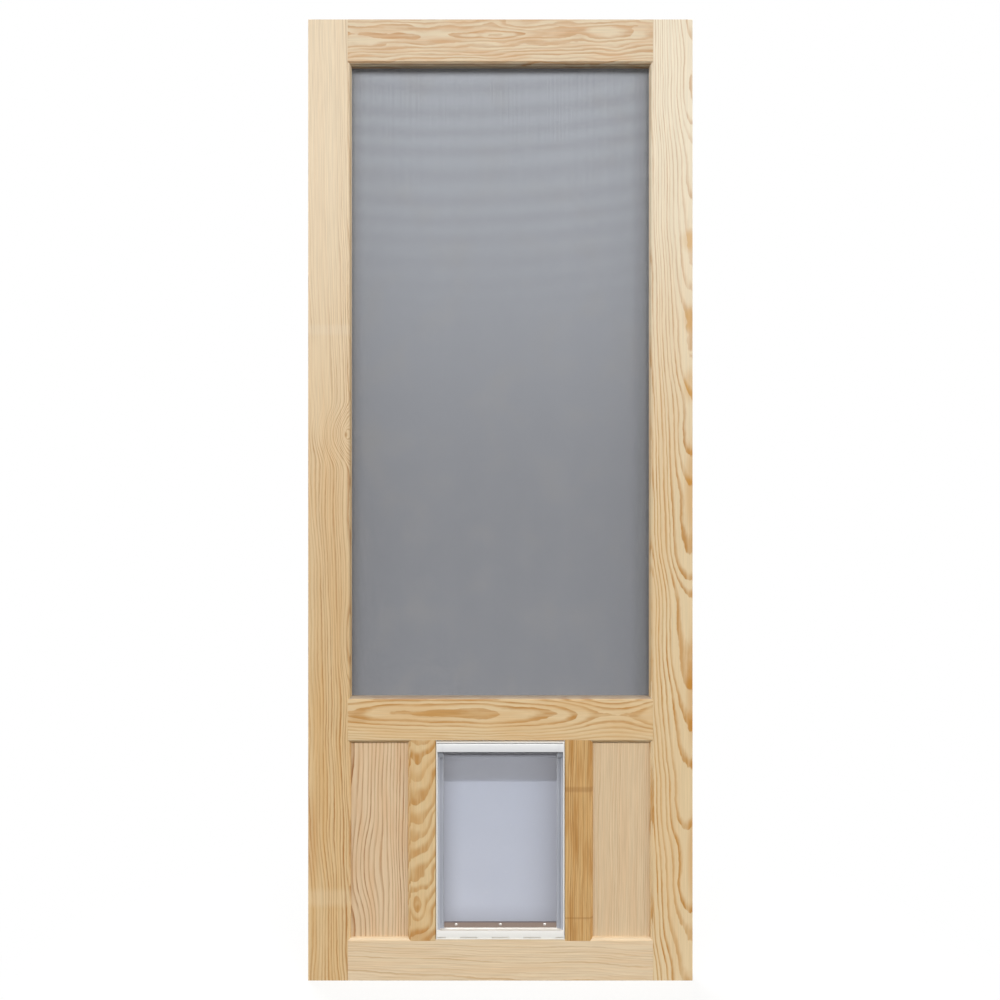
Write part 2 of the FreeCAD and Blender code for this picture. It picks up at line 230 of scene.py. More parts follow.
def pine(board, look):
    mat, tree, shader = newMaterial("planed_pine_" + board, IOR=1.45, Specular_IOR_Level=0.3)
    seed = look["seed"]
    low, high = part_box(board)
    upright = high.z - low.z > high.x - low.x
    spot = inMillimetres(tree, (low + high) / 2)
    axes = add(tree, "SeparateXYZ", {0: spot}).outputs
    along = axes["Z" if upright else "X"]
    across = axes["X" if upright else "Z"]

    def vary(lengthwise, crosswise, start, detail=2.0):  # noise drawn out along the grain
        long, short = 1 / lengthwise, 1 / crosswise
        drawnOut = (short, short, long) if upright else (long, short, short)
        scaled = add(tree, "VectorMath", {0: spot, 1: drawnOut, 2: [start] * 3}, operation="MULTIPLY_ADD")
        return add(tree, "TexNoise", {"Vector": scaled, "Scale": 1.0, "Detail": detail})

    def around(alongAt, acrossAt, long, wide):  # 0 amid an oval, 1 at its edge, right through the board
        at = (acrossAt, 0, alongAt) if upright else (alongAt, 0, acrossAt)
        flat = (1 / wide, 0, 1 / long) if upright else (1 / long, 0, 1 / wide)
        near = add(tree, "VectorMath", {0: spot, 1: at}, operation="SUBTRACT")
        near = add(tree, "VectorMath", {0: near, 1: flat}, operation="MULTIPLY")
        return add(tree, "VectorMath", {0: near}, operation="LENGTH").outputs["Value"]

    # distance from the pith, which leans and wanders along the board
    bow = add(tree, "Math", {0: along, 1: 1 / look["bowLength"], 2: seed}, operation="MULTIPLY_ADD")
    bow = add(tree, "TexNoise", {"W": bow, "Scale": 1.0, "Detail": 1.0}, noise_dimensions="1D")
    pithDepth = add(tree, "Math", {0: along, 1: look["leanDepth"], 2: look["pithDepth"]},
                    operation="MULTIPLY_ADD")
    pithDepth = add(tree, "Math", {0: bow, 1: look["bowHeight"], 2: pithDepth}, operation="MULTIPLY_ADD")
    pithAcross = add(tree, "Math", {0: along, 1: look["leanAcross"], 2: look["pithAcross"]},
                     operation="MULTIPLY_ADD")
    sideways = add(tree, "Math", {0: across, 1: pithAcross}, operation="SUBTRACT")
    inwards = add(tree, "Math", {0: axes["Y"], 1: pithDepth}, operation="SUBTRACT")
    offset = add(tree, "CombineXYZ", {0: sideways, 1: inwards})
    radius = add(tree, "VectorMath", {0: offset}, operation="LENGTH").outputs["Value"]

    # long waves and a short waver in the rings, and swells round knots; each noise starts elsewhere
    wave = vary(look["waveLength"], look["waveWidth"], seed, planedPine["waveDetail"])
    waver = vary(planedPine["waverLength"], planedPine["waverWidth"], seed + 5, planedPine["waverDetail"])
    for shake, height in ((wave, look["waveHeight"]), (waver, look["waver"])):
        radius = add(tree, "Math", {0: shake, 1: height, 2: radius}, operation="MULTIPLY_ADD")
    cores = []
    for alongAt, acrossAt, long, wide, lift, darkness in look.get("knots", []):
        near = around(alongAt, acrossAt, long, wide)
        swell = add(tree, "MapRange", {0: near, 1: 1.0, 2: 0.0}, interpolation_type="SMOOTHERSTEP")
        radius = add(tree, "Math", {0: swell, 1: lift, 2: radius}, operation="MULTIPLY_ADD")
        if darkness:
            core = add(tree, "MapRange", {0: near, 1: planedPine["knotEdge"], 2: planedPine["knotHeart"],
                                          4: darkness}, **smooth)
            cores.append((core, look["late"]))

    # count the rings, uneven in width, each with a strength of its own that comes and goes along it
    rings = add(tree, "Math", {0: radius, 1: look["ringWidth"]}, operation="DIVIDE")
    if "closing" in look:  # rings that grow narrower away from the pith
        closing = add(tree, "Math", {0: radius, 1: look["closing"], 2: 1.0}, operation="MULTIPLY_ADD")
        rings = add(tree, "Math", {0: rings, 1: closing}, operation="MULTIPLY")
    uneven = add(tree, "TexNoise", {"W": rings, "Scale": planedPine["unevenScale"], "Detail": 1.0},
                 noise_dimensions="1D")
    rings = add(tree, "Math", {0: uneven, 1: planedPine["unevenBy"], 2: rings}, operation="MULTIPLY_ADD")
    inRing = add(tree, "Math", {0: rings}, operation="FRACT")
    ring = add(tree, "Math", {0: rings}, operation="FLOOR")
    ring = add(tree, "Math", {0: ring, 1: seed}, operation="ADD")
    strength = add(tree, "TexWhiteNoise", {"W": ring}, noise_dimensions="1D").outputs["Value"]
    strength = add(tree, "MapRange", {0: strength, 3: look["faintest"], 4: 1.0})
    patchy = vary(planedPine["patchLength"], planedPine["patchWidth"], seed + 11)
    patchLow, patchHigh = planedPine["patchRange"]
    patchy = add(tree, "MapRange", {0: patchy, 1: patchLow, 2: patchHigh,
                                    3: planedPine["patchFaintest"], 4: 1.0})
    lateStart, lateFull = look["lateWood"]
    rise = add(tree, "MapRange", {0: inRing, 1: lateStart, 2: lateFull}, **smooth)
    drop = add(tree, "MapRange", {0: inRing, 1: 1.0, 2: planedPine["lateEnd"]}, **smooth)
    bare = add(tree, "Math", {0: rise, 1: drop}, operation="MULTIPLY")
    late = bare
    for share in (strength, patchy):
        late = add(tree, "Math", {0: late, 1: share}, operation="MULTIPLY")
    for alongAt, acrossAt, long, wide, share in look.get("quiet", []):
        calm = around(alongAt, acrossAt, long, wide)
        calm = add(tree, "MapRange", {0: calm, 1: 1.0, 2: planedPine["quietHeart"], 3: 1.0, 4: 1 - share},
                   **smooth)
        late = add(tree, "Math", {0: late, 1: calm}, operation="MULTIPLY")

    # colour: early and late wood, warmer clouds, paler towards one end (partly the wood's own tone, partly
    # painted light), knots, bands, stains and painted shade at the rims
    lateShare = add(tree, "Math", {0: late, 1: look["lateDepth"]}, operation="MULTIPLY")
    cloud = vary(look["cloudLength"], look["cloudWidth"], seed * 1.7)
    cloudLow, cloudHigh = planedPine["cloudRange"]
    cloud = add(tree, "MapRange", {0: cloud, 1: cloudLow, 2: cloudHigh, 4: look["cloudDepth"]}, **smooth)
    layers = [(lateShare, look["late"]), (cloud, look["cloud"])]
    # paler towards the top of a stile: partly the board's own tone, partly painted light falling brighter on
    # the upper part
    if "pale" in look:
        paleFrom, paleTo, share, hexText = look["pale"]
        pale = add(tree, "MapRange", {0: along, 1: paleFrom, 2: paleTo, 4: share}, **smooth)
        spared = add(tree, "MapRange", {0: late, 3: 1.0, 4: planedPine["paleOnLines"]})
        pale = add(tree, "Math", {0: pale, 1: spared}, operation="MULTIPLY")
        layers.append((pale, hexText))
    layers += cores
    for bandAlong, halfLength, share, hexText in look.get("bands", []):
        off = add(tree, "Math", {0: along, 1: bandAlong}, operation="SUBTRACT")
        off = add(tree, "Math", {0: off}, operation="ABSOLUTE")
        band = add(tree, "MapRange", {0: off, 1: halfLength, 2: halfLength * planedPine["bandHeart"],
                                      4: share}, **smooth)
        layers.append((band, hexText))
    for alongAt, acrossAt, long, wide, share, hexText in look.get("stains", []):
        stain = around(alongAt, acrossAt, long, wide)
        stain = add(tree, "MapRange", {0: stain, 1: 1.0, 2: planedPine["stainHeart"], 4: share}, **smooth)
        soaked = add(tree, "MapRange", {0: bare, 3: planedPine["stainOffLines"], 4: 1.0})
        stain = add(tree, "Math", {0: stain, 1: soaked}, operation="MULTIPLY")
        layers.append((stain, hexText))
    # darker rims beside the screen on the stiles' mouldings and the middle rail's ledge: painted shade
    for rimFrom, rimTo, alongFrom, depthTo, share, hexText in look.get("shadedRims", []):
        rim = add(tree, "MapRange", {0: across, 1: rimFrom, 2: rimTo, 4: share}, **smooth)
        front = add(tree, "MapRange", {0: axes["Y"], 1: depthTo, 2: depthTo - planedPine["rimDepth"]})
        above = add(tree, "MapRange", {0: along, 1: alongFrom, 2: alongFrom + planedPine["rimEnd"]})
        for limit in (front, above):
            rim = add(tree, "Math", {0: rim, 1: limit}, operation="MULTIPLY")
        layers.append((rim, hexText))

    # fibres run with the grain, in streaks a little lighter and darker
    fibre = vary(planedPine["fibreLength"], planedPine["fibreWidth"], seed)
    streak = add(tree, "MapRange", {0: fibre, 1: noiseLow, 2: noiseHigh,
                                    3: 1 - look["fibreDepth"], 4: 1 + look["fibreDepth"]})
    earlyRough, lateRough = planedPine["rough"]
    rough = add(tree, "MapRange", {0: late, 3: earlyRough, 4: lateRough})
    height = add(tree, "Math", {0: fibre, 1: planedPine["fibreHeight"], 2: late}, operation="MULTIPLY_ADD")
    surface(tree, shader, look["early"], layers, rough, height, planedPine["bump"], streak)
    dress(mat, board)


# Lengths in the boards' looks are millimetres, from the middle of the board.
# knots: place along and across, length, width, how far the rings swell, darkness of the core
# quiet, where the lines fade out: place along and across, length, width, share
# pale, partly painted light: from, to, share, colour; bands: place along, half length, share, colour
# stains of resin: place along and across, length, width, share, colour
# rims, painted shade beside the screen: from and to across, from where along, to which depth, share, colour

# nearly quarter sawn: plain above, a knot at the inner edge, bolder wavy lines towards the foot
leftStile = {
    "seed": 3.1, "pithAcross": -120, "pithDepth": 60, "leanAcross": -0.03, "leanDepth": 0.0,
    "bowLength": 420, "bowHeight": 22, "waveLength": 150, "waveWidth": 44, "waveHeight": 11, "waver": 1.4,
    "ringWidth": 4.8, "lateWood": (0.35, 0.85), "lateDepth": 0.95, "faintest": 0.35,
    "early": "#DBBD8F", "late": "#A66F30", "cloud": "#D0A05E", "cloudDepth": 0.35,
    "cloudLength": 420, "cloudWidth": 18, "fibreDepth": 0.06,
    "pale": (-360, 820, 0.75, "#F7E6CB"),
    "quiet": [(800, -16, 640, 60, 0.75), (240, -26, 150, 44, 0.75)],
    "knots": [(138, 50, 85, 125, 30, 0), (138, 35, 30, 13, 9, 0.6), (-300, 42, 120, 30, 9, 0)],
    "bands": [(360, 16, 0.2, "#EEE0C9"), (-841, 26, 0.24, "#E9D6B2"), (-200, 260, 0.1, "#D9CDB4")],
    "stains": [(-712, -36, 130, 16, 0.4, "#B0722B")],
    "shadedRims": [(39.5, 43.5, -425, -1, 0.5, "#8B7352")],
}
# flat sawn: the pith lies behind the outer edge, so the lines run out there in long orange flames
rightStile = {
    "seed": 8.4, "pithAcross": 41, "pithDepth": 56, "leanAcross": 0.003, "leanDepth": -0.045,
    "bowLength": 300, "bowHeight": 14, "waveLength": 120, "waveWidth": 60, "waveHeight": 8, "waver": 1.2,
    "ringWidth": 4.6, "lateWood": (0.44, 0.88), "lateDepth": 1.0, "faintest": 0.6,
    "early": "#E3CCA4", "late": "#B87E30", "cloud": "#DDB27A", "cloudDepth": 0.25,
    "cloudLength": 380, "cloudWidth": 30, "fibreDepth": 0.05,
    "pale": (-150, 900, 0.66, "#FFF6E2"),
    "bands": [(-700, 460, 0.11, "#C8964A")],
    "stains": [(549, 38, 32, 21, 0.7, "#D9AC6E"), (384, 40, 42, 20, 0.7, "#D29F58"),
               (242, 40, 48, 20, 0.75, "#CB9442"), (20, 46, 150, 24, 0.9, "#C78D3A"),
               (-401, 46, 160, 19, 0.8, "#C0832F"), (-760, 46, 130, 17, 0.75, "#C0832F")],
    "shadedRims": [(-40.5, -44, -425, -1, 0.3, "#8F7654")],
}
# pinkish rail: long islands along the top, wavy lines near the moulding
topRail = {
    "seed": 5.7, "pithAcross": 18, "pithDepth": 24, "leanAcross": 0.02, "leanDepth": 0.01,
    "bowLength": 160, "bowHeight": 10, "waveLength": 80, "waveWidth": 20, "waveHeight": 12, "waver": 2,
    "ringWidth": 5.4, "lateWood": (0.25, 0.75), "lateDepth": 0.85, "faintest": 0.35,
    "early": "#E7D4B5", "late": "#C28C56", "cloud": "#D9AE82", "cloudDepth": 0.45,
    "cloudLength": 90, "cloudWidth": 12, "fibreDepth": 0.06,
    "knots": [(-215, 14, 80, 20, -4, 0), (-10, 14, 190, 16, -4, 0), (60, 36, 110, 18, 3, 0),
              (215, 22, 150, 18, -3, 0)],
}
# one long oval and a few nested curves in the upper half, straight fine lines in the lower
middleRail = {
    "seed": 1.9, "pithAcross": 13, "pithDepth": 22, "leanAcross": -0.012, "leanDepth": 0.0,
    "bowLength": 330, "bowHeight": 5, "waveLength": 80, "waveWidth": 24, "waveHeight": 5, "waver": 1.2,
    "ringWidth": 5.2, "lateWood": (0.36, 0.8), "lateDepth": 0.95, "faintest": 0.5,
    "early": "#DFC499", "late": "#B67F3A", "cloud": "#D3A263", "cloudDepth": 0.3,
    "cloudLength": 160, "cloudWidth": 18, "fibreDepth": 0.05,
    "knots": [(-113, 13, 340, 150, -8, 0), (240, 13, 150, 150, 11, 0)],
    "quiet": [(0, -36, 700, 30, 0.45)],
    "stains": [(-299, 4, 34, 14, 0.6, "#B5803C"), (-110, 13, 130, 12, 0.4, "#BE8A40")],
    "shadedRims": [(42, 46, -400, 12, 0.75, "#948A80")],
}
# pale and quiet, hardly any figure
bottomRail = {
    "seed": 6.6, "pithAcross": -130, "pithDepth": 110, "leanAcross": 0.006, "leanDepth": 0.03,
    "bowLength": 300, "bowHeight": 18, "waveLength": 120, "waveWidth": 26, "waveHeight": 6, "waver": 2,
    "ringWidth": 3.8, "lateWood": (0.25, 0.8), "lateDepth": 0.62, "faintest": 0.0,
    "early": "#E3CDAC", "late": "#BA9160", "cloud": "#D9B88E", "cloudDepth": 0.4,
    "cloudLength": 200, "cloudWidth": 12, "fibreDepth": 0.07,
}
# cut close to the pith: bold chevrons, the rings of a small limb near the foot
leftMullion = {
    "seed": 2.3, "pithAcross": -14, "pithDepth": 110, "leanAcross": 0.02, "leanDepth": -0.16,
    "bowLength": 70, "bowHeight": 10, "waveLength": 50, "waveWidth": 26, "waveHeight": 6, "waver": 0.8,
    "ringWidth": 6.4, "lateWood": (0.3, 0.8), "lateDepth": 0.85, "faintest": 0.5,
    "early": "#DABE90", "late": "#B37A32", "cloud": "#CF9C5B", "cloudDepth": 0.3,
    "cloudLength": 90, "cloudWidth": 24, "fibreDepth": 0.05,
    "knots": [(-142, -8, 38, 24, -7, 0.4)],
    "stains": [(-200, 0, 18, 50, 0.5, "#B0722B")],
}
# the darkest board, streaky, with straight grain and two faint marks across it
rightMullion = {
    "seed": 9.2, "pithAcross": -140, "pithDepth": 30, "leanAcross": 0.01, "leanDepth": 0.0,
    "bowLength": 300, "bowHeight": 10, "waveLength": 120, "waveWidth": 16, "waveHeight": 6, "waver": 2,
    "ringWidth": 4.8, "lateWood": (0.2, 0.8), "lateDepth": 0.8, "faintest": 0.1,
    "early": "#D2AB73", "late": "#98652D", "cloud": "#AF7A3A", "cloudDepth": 0.7,
    "cloudLength": 130, "cloudWidth": 10, "fibreDepth": 0.1,
    "bands": [(108, 8, 0.35, "#8F5F2C"), (-164, 3, 0.35, "#96662F")],
}
# wide wavy lines on the left, closer and straighter on the right
leftPanel = {
    "seed": 4.8, "pithAcross": -95, "pithDepth": 45, "leanAcross": 0.0, "leanDepth": 0.0,
    "bowLength": 220, "bowHeight": 12, "waveLength": 190, "waveWidth": 44, "waveHeight": 13, "waver": 1.2,
    "ringWidth": 14.0, "closing": 0.004, "lateWood": (0.5, 0.88), "lateDepth": 1.0, "faintest": 0.4,
    "early": "#DEC39F", "late": "#986432", "cloud": "#D0A272", "cloudDepth": 0.3,
    "cloudLength": 160, "cloudWidth": 18, "fibreDepth": 0.06,
    "knots": [(-50, -25, 130, 55, 10, 0), (-200, -40, 120, 55, -9, 0)],
}
# fine, faint and nearly straight lines
rightPanel = {
    "seed": 7.5, "pithAcross": -190, "pithDepth": 60, "leanAcross": 0.012, "leanDepth": 0.0,
    "bowLength": 300, "bowHeight": 10, "waveLength": 140, "waveWidth": 18, "waveHeight": 6, "waver": 2,
    "ringWidth": 4.4, "lateWood": (0.25, 0.8), "lateDepth": 0.55, "faintest": 0.0,
    "early": "#DBC29E", "late": "#B78D60", "cloud": "#D7B288", "cloudDepth": 0.3,
    "cloudLength": 200, "cloudWidth": 18, "fibreDepth": 0.07,
}
boards = {
    "left_stile": leftStile, "right_stile": rightStile,
    "top_rail": topRail, "middle_rail": middleRail, "bottom_rail": bottomRail,
    "left_mullion": leftMullion, "right_mullion": rightMullion,
    "left_panel": leftPanel, "right_panel": rightPanel,
}
for board, look in boards.items():
    pine(board, look)
print("wood dressed")

# Injection-moulded PVC: satin skin with a fine orange peel and a little unevenness in tone and gloss; some
# pieces are darkened at an end, mostly painted shade.
pvcSkin = {"peel": 1.8, "endDarkening": 0.9, "bump": (0.25, 0.05)}


def mouldedPvc(name, look, *nodes):
    mat, tree, shader = newMaterial(name, IOR=1.53)
    spot = inMillimetres(tree)
    flow = add(tree, "TexNoise", {"Vector": spot, "Scale": 1 / look["flow"], "Detail": 3.0})
    layers = [(flow, look["shade"])]
    low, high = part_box(nodes[0])
    height = add(tree, "SeparateXYZ", {0: spot}).outputs["Z"]
    for end, reach, hexText in look.get("ends", []):  # darker towards its head or foot, mostly painted shade
        edge = (high if end == "head" else low).z / mm
        inside = edge - reach if end == "head" else edge + reach
        darkEnd = add(tree, "MapRange", {0: height, 1: inside, 2: edge, 4: pvcSkin["endDarkening"]})
        layers.append((darkEnd, hexText))
    slick, dull = look["rough"]
    rough = add(tree, "MapRange", {0: flow, 1: noiseLow, 2: noiseHigh, 3: slick, 4: dull})
    peel = add(tree, "TexNoise", {"Vector": spot, "Scale": 1 / pvcSkin["peel"], "Detail": 2.0})
    surface(tree, shader, look["colour"], layers, rough, peel, pvcSkin["bump"])
    dress(mat, *nodes)


whitePvc = {"colour": "#F8F4EC", "shade": "#EDE9E1", "rough": (0.3, 0.44), "flow": 60.0}
# the sill's top face is darkened, painted shade; its lowest 12 mm are darker towards its foot
sillPvc = {"colour": "#FAF8F3", "shade": "#F0EEE9", "rough": (0.36, 0.5), "flow": 60.0,
           "ends": [("head", 1.0, "#EBE4D8"), ("foot", 12.0, "#E2E1DB")]}
# the bar is darker towards its foot: painted shade on its lower side
barPvc = {"colour": "#F4F5F4", "shade": "#EDEDEE", "rough": (0.34, 0.48), "flow": 60.0,
          "ends": [("foot", 14.7, "#D3D4D6")]}
# the tracks are darker towards their heads: painted shadow of the head bar
greyPvc = {"colour": "#BEC1CA", "shade": "#B2B5BE", "rough": (0.36, 0.5), "flow": 40.0,
           "ends": [("head", 70.0, "#9A9CA4")]}
blockPvc = {"colour": "#8D9097", "shade": "#83868E", "rough": (0.39, 0.53), "flow": 20.0}
mouldedPvc("moulded_white_pvc", whitePvc, "pet_sleeve")
mouldedPvc("sill_white_pvc", sillPvc, "sill")
mouldedPvc("moulded_cool_white_pvc", barPvc, "head_channel")
mouldedPvc("moulded_grey_pvc", greyPvc, "left_track", "right_track")
mouldedPvc("moulded_dark_grey_pvc", blockPvc, "left_hinge_block", "right_hinge_block")

# Cold-drawn steel: bright grey, with die lines along the rod that stretch the highlights.
rodLook = {"colour": "#A3A3A2", "line": "#858585", "lineLength": 70.0, "lineWidth": 0.35,
           "rough": (0.26, 0.42), "bump": (0.2, 0.02)}
rodMat, tree, shader = newMaterial("cold_drawn_steel", Metallic=1.0)
drawn = [1 / rodLook["lineLength"]] + [1 / rodLook["lineWidth"]] * 2
spot = add(tree, "VectorMath", {0: inMillimetres(tree), 1: drawn}, operation="MULTIPLY")
lines = add(tree, "TexNoise", {"Vector": spot, "Scale": 1.0, "Detail": 2.0})
slick, dull = rodLook["rough"]
rough = add(tree, "MapRange", {0: lines, 1: noiseLow, 2: noiseHigh, 3: slick, 4: dull})
surface(tree, shader, rodLook["colour"], [(lines, rodLook["line"])], rough, lines, rodLook["bump"])
dress(rodMat, "hinge_rod")

# Stove-enamelled steel strip: flat brown with a faint speckle, darker along its top edge.
stripLook = {"colour": "#928278", "speckle": "#817066", "edge": "#6E6566", "grain": 1.4,
             "edgeFrom": 3.2, "edgeFull": 0.8,        # below its top
             "rough": (0.36, 0.52), "bump": (0.3, 0.04)}
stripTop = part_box("magnet_strip")[1].z / mm
stripMat, tree, shader = newMaterial("stove_enamelled_steel", IOR=1.5)
spot = inMillimetres(tree)
speckle = add(tree, "TexNoise", {"Vector": spot, "Scale": 1 / stripLook["grain"], "Detail": 3.0})
height = add(tree, "SeparateXYZ", {0: spot}).outputs["Z"]
edge = add(tree, "MapRange", {0: height, 1: stripTop - stripLook["edgeFrom"],
                              2: stripTop - stripLook["edgeFull"]})
layers = [(speckle, stripLook["speckle"]), (edge, stripLook["edge"])]
slick, dull = stripLook["rough"]
rough = add(tree, "MapRange", {0: speckle, 1: noiseLow, 2: noiseHigh, 3: slick, 4: dull})
surface(tree, shader, stripLook["colour"], layers, rough, speckle, stripLook["bump"])
dress(stripMat, "magnet_strip")

# Aluminium rivets, scuffed dull, so that each head has only a soft sparkle.
rivetLook = {"colour": "#D6D3CE", "scuff": "#85827F", "grain": 0.8,
             "rough": (0.26, 0.42), "bump": (0.15, 0.02)}
rivetMat, tree, shader = newMaterial("scuffed_aluminium", Metallic=1.0)
spot = inMillimetres(tree)
scuff = add(tree, "TexNoise", {"Vector": spot, "Scale": 1 / rivetLook["grain"], "Detail": 2.0})
slick, dull = rivetLook["rough"]
rough = add(tree, "MapRange", {0: scuff, 1: noiseLow, 2: noiseHigh, 3: slick, 4: dull})
surface(tree, shader, rivetLook["colour"], [(scuff, rivetLook["scuff"])], rough, scuff, rivetLook["bump"])
dress(rivetMat, "strip_rivets")

# Calendered grey vinyl behind the top of the flap: matt, with a fine leathery grain, fading at its foot.
bandLook = {"colour": "#BCB6B0", "shade": "#A29C97", "foot": "#C6C5C8", "grain": 1.1, "fade": 11.0,
            "rough": (0.6, 0.48), "bump": (0.3, 0.05)}
bandLow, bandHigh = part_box("flap_hinge_band")
bandFoot = bandLow.z / mm
bandMat, tree, shader = newMaterial("calendered_grey_vinyl", IOR=1.5)
spot = inMillimetres(tree)
grain = add(tree, "TexVoronoi", {"Vector": spot, "Scale": 1 / bandLook["grain"]}).outputs["Distance"]
height = add(tree, "SeparateXYZ", {0: spot}).outputs["Z"]
worn = add(tree, "MapRange", {0: height, 1: bandFoot + bandLook["fade"], 2: bandFoot}, **smooth)
layers = [(grain, bandLook["colour"]), (worn, bandLook["foot"])]
dull, slick = bandLook["rough"]
rough = add(tree, "MapRange", {0: grain, 3: dull, 4: slick})
surface(tree, shader, bandLook["shade"], layers, rough, grain, bandLook["bump"])
dress(bandMat, "flap_hinge_band")

# Extruded black PVC cord with ribs round it, dull and slightly dusty on the ribs.
splineLook = {"colour": "#2A2A2B", "dust": "#4A4846", "dustSize": 8.3333, "rib": 1.2,
              "wavePeriod": 0.314, "waver": 0.4,      # a wave texture's period at a scale of 1
              "rough": (0.5, 0.75), "bump": (0.6, 0.3)}


def ribbedCord(name, axis, *nodes):
    mat, tree, shader = newMaterial(name, IOR=1.5)
    spot = inMillimetres(tree)
    ribs = add(tree, "TexWave", {"Vector": spot, "Scale": splineLook["wavePeriod"] / splineLook["rib"],
                                 "Distortion": splineLook["waver"]}, bands_direction=axis)
    dusty = add(tree, "TexNoise", {"Vector": spot, "Scale": 1 / splineLook["dustSize"], "Detail": 3.0})
    share = add(tree, "Math", {0: ribs, 1: dusty}, operation="MULTIPLY")
    slick, dull = splineLook["rough"]
    rough = add(tree, "MapRange", {0: share, 3: slick, 4: dull})
    layers = [(share, splineLook["dust"])]
    surface(tree, shader, splineLook["colour"], layers, rough, ribs, splineLook["bump"])
    dress(mat, *nodes)


ribbedCord("ribbed_spline_level", "X", "spline_top", "spline_bottom")
ribbedCord("ribbed_spline_upright", "Z", "spline_left", "spline_right")
print("fittings dressed")


def selectFaces(piece, wanted):  # in edit mode: pick the faces whose middle and normal suit
    bpy.ops.mesh.select_mode(type="FACE")
    bpy.ops.mesh.select_all(action="DESELECT")
    bpy.ops.object.mode_set(mode="OBJECT")
    for face in piece.data.polygons:
        face.select = wanted(face.center, face.normal)
    bpy.ops.object.mode_set(mode="EDIT")


def joinTo(piece, other):  # one object of two, under the first one's name
    bpy.ops.object.select_all(action="DESELECT")
    other.select_set(True)
    piece.select_set(True)
    bpy.context.view_layer.objects.active = piece
    bpy.ops.object.join()


# Screen: plastic-coated glass fibre strands, level ones laid behind upright ones and fused to them.
# Each strand turns down into the groove at its ends. There are 18 by 16 strands to the inch as on a real
# screen; they are drawn thicker than real ones, so that the screen looks as dense as in the picture.
screen = {
    "uprightPitch": 25.4 * mm / 18,
    "levelPitch": 25.4 * mm / 16,
    "uprightShare": 0.9,                         # of the pitch
    "levelShare": 0.46,
    "thick": 0.14 * mm,
    "tuck": 5.2 * mm,
    "foot": "#77797F", "top": "#969AA2",         # painted light, lighter towards the top and darker below; lengths from here on in millimetres
    "footAt": 900.0, "topAt": 1900.0,
    "dust": "#96938F", "dustLength": 90.0, "dustRange": (0.5, 0.8), "dustShare": 0.3,
    "bandPeriod": 46.0, "bandDepth": 0.075,      # faint level bands where the level strands bow
    "bow": 0.0002, "bowAt": 290.0, "drift": 60.0, "driftLength": 170.0,
    "lineWidth": 3.2, "lineDepth": 0.07,         # faint upright lines, drawn coarser than the strands
    "lineRange": (0.25, 0.75),
    "bandsFrom": 1360.0, "bandsFull": 1900.0,
    "sideFrom": 140.0, "sideTo": 318.0,          # painted shade, a little darker towards the stiles
    "sideShade": 0.9,
    "shadedRims": [("X", 114.0, 90.0, 0.78),           # painted shade at its rim, beside the stiles and under the top rail: axis, from, to, tone
             ("X", 684.0, 722.0, 0.62),
             ("Z", 1918.0, 1936.0, 0.45)],
    "grain": 0.4, "rough": (0.5, 0.65), "bump": (0.3, 0.05),
}
clothLow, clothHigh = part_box("screen_cloth")
clothMiddle = (clothLow + clothHigh) / 2


def strands(name, upright):
    run = 2 if upright else 0                      # axis that a strand runs along
    step = 0 if upright else 2                     # axis that the row steps along
    span = clothHigh - clothLow
    thick = screen["thick"]
    pitch = screen["uprightPitch" if upright else "levelPitch"]
    width = pitch * screen["uprightShare" if upright else "levelShare"]
    count = int((span[step] - width) / pitch)
    start = clothMiddle.copy()
    start[step] -= (count - 1) / 2 * pitch
    start.y = clothHigh.y - thick * (1.5 if upright else 0.5)
    size = Vector((width, thick, width))
    size[run] = span[run] - 2 * thick
    bpy.ops.object.select_all(action="DESELECT")
    bpy.ops.mesh.primitive_cube_add(size=1.0, location=start)
    piece = bpy.context.object
    piece.name = name
    bpy.ops.object.mode_set(mode="EDIT")
    bpy.ops.transform.resize(value=size)
    for side in (-1, 1):                           # an end the thickness of the strand, then the turn down
        outward = Vector((0, 0, 0))
        outward[run] = side
        selectFaces(piece, lambda middle, normal: normal.dot(outward) > 0.9)
        bpy.ops.mesh.extrude_region_move(TRANSFORM_OT_translate={"value": outward * thick})
        limit = size[run] / 2
        selectFaces(piece, lambda middle, normal: normal.y < -0.9 and middle[run] * side > limit)
        bpy.ops.mesh.extrude_region_move(TRANSFORM_OT_translate={"value": (0, -screen["tuck"], 0)})
    bpy.ops.object.mode_set(mode="OBJECT")
    bpy.ops.object.transform_apply(location=True, rotation=True, scale=True)
    row = piece.modifiers.new("row", "ARRAY")
    row.count = count
    row.use_relative_offset = False
    row.use_constant_offset = True
    row.constant_offset_displace = (pitch, 0, 0) if upright else (0, 0, pitch)
    bpy.ops.object.modifier_apply(modifier="row")
    return piece


screenMesh = strands("screen_mesh", True)
joinTo(screenMesh, strands("level_strands", False))

# Coated glass fibre: dull grey with a little dust, fine grain in the coat, and the soft level bands and
# upright lines that show where the weave is uneven; painted light makes it lighter towards the top, and
# painted shade darkens it towards the stiles and under the top rail.
screenMat, tree, shader = newMaterial("coated_glass_fibre", IOR=1.5)
spot = inMillimetres(tree)
axes = add(tree, "SeparateXYZ", {0: spot}).outputs
# painted light: the screen is lighter towards its top
fade = add(tree, "MapRange", {0: axes["Z"], 1: screen["footAt"], 2: screen["topAt"]}, **smooth)
dust = add(tree, "TexNoise", {"Vector": spot, "Scale": 1 / screen["dustLength"], "Detail": 4.0})
dustLow, dustHigh = screen["dustRange"]
dust = add(tree, "MapRange", {0: dust, 1: dustLow, 2: dustHigh, 4: screen["dustShare"]})
layers = [(fade, screen["top"]), (dust, screen["dust"])]

